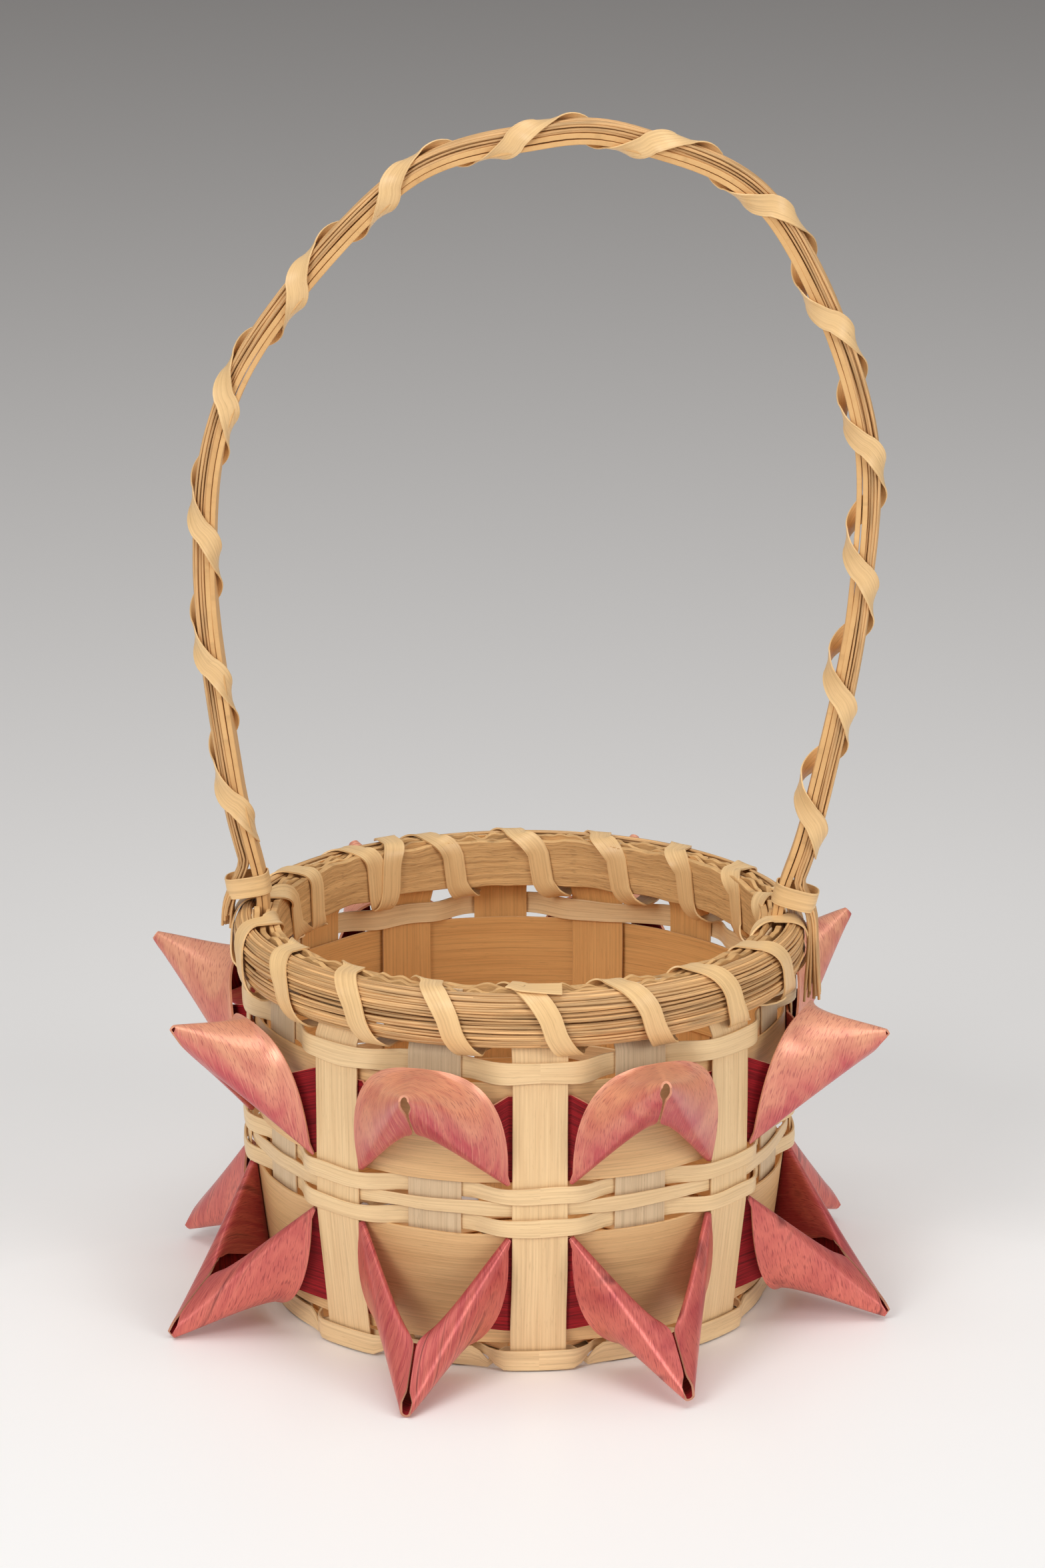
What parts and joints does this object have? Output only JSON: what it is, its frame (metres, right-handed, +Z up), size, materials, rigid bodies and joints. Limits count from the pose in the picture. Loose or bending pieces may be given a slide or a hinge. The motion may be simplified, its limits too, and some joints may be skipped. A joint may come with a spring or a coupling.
{
  "type": "small splint basket with handle",
  "caption": "Small round woven splint basket with a tall hooped handle, a sweetgrass rim and two rows of dyed splints folded out into points.",
  "frame": {"origin": "centre of the base, level with the underside of the base rounds that the basket rests on", "axes": "+Z up along the basket's axis, -Y towards the front outer upright, +X to the right; the handle's plane is turned 8.5 degrees from XZ"},
  "size_m": [0.1404, 0.1404, 0.2283],
  "materials": {
    "outer_upright_splint": "planed pale ash splint, satin",
    "inner_upright_splint": "greyer ash splint, dull",
    "wide_weaver_splint": "wide golden ash splint, satin, rippled",
    "base_weaver_splint": "ash splint, dull",
    "thin_weaver_splint": "thin honey ash splint, satin",
    "foot_splint": "thin pale ash splint, satin",
    "upper_dyed_splint": "ash splint dyed salmon outside and crimson inside, satin",
    "lower_dyed_splint": "ash splint dyed coral red, satin",
    "hoop_ash": "split ash hoop, coarse grain",
    "rim_sweetgrass": "bundle of dry sweetgrass",
    "lashing_splint": "narrow honey ash splint, satin",
    "handle_ash": "split ash strip, coarse grain",
    "handle_grass": "bundle of dry sweetgrass",
    "wrap_splint": "narrow honey ash splint, satin"
  },
  "bodies": {
    "root": {"stake_splint_1": "outer_upright_splint", "stake_splint_2": "inner_upright_splint", "stake_splint_3": "outer_upright_splint", "stake_splint_4": "inner_upright_splint", "stake_splint_5": "outer_upright_splint", "stake_splint_6": "inner_upright_splint", "stake_splint_7": "outer_upright_splint", "stake_splint_8": "inner_upright_splint", "base_round_1": "base_weaver_splint", "base_round_2": "base_weaver_splint", "base_round_3": "base_weaver_splint", "base_round_4": "base_weaver_splint", "foot_twining_outer_strand": "foot_splint", "foot_twining_inner_strand": "foot_splint", "lower_wide_weaver": "wide_weaver_splint", "lower_curl_splint": "lower_dyed_splint", "mid_weaver_1": "thin_weaver_splint", "mid_weaver_2": "thin_weaver_splint", "mid_weaver_3": "thin_weaver_splint", "upper_wide_weaver": "wide_weaver_splint", "upper_curl_splint": "upper_dyed_splint", "top_weaver": "thin_weaver_splint", "inner_rim_hoop": "hoop_ash", "rim_sweetgrass_bundle": "rim_sweetgrass", "rim_lashing": "lashing_splint", "handle_inner_strip": "handle_ash", "handle_outer_strip": "handle_ash", "handle_sweetgrass": "handle_grass", "handle_wrap": "wrap_splint", "handle_binding_left": "wrap_splint", "handle_binding_right": "wrap_splint"}
  },
  "joints": []
}
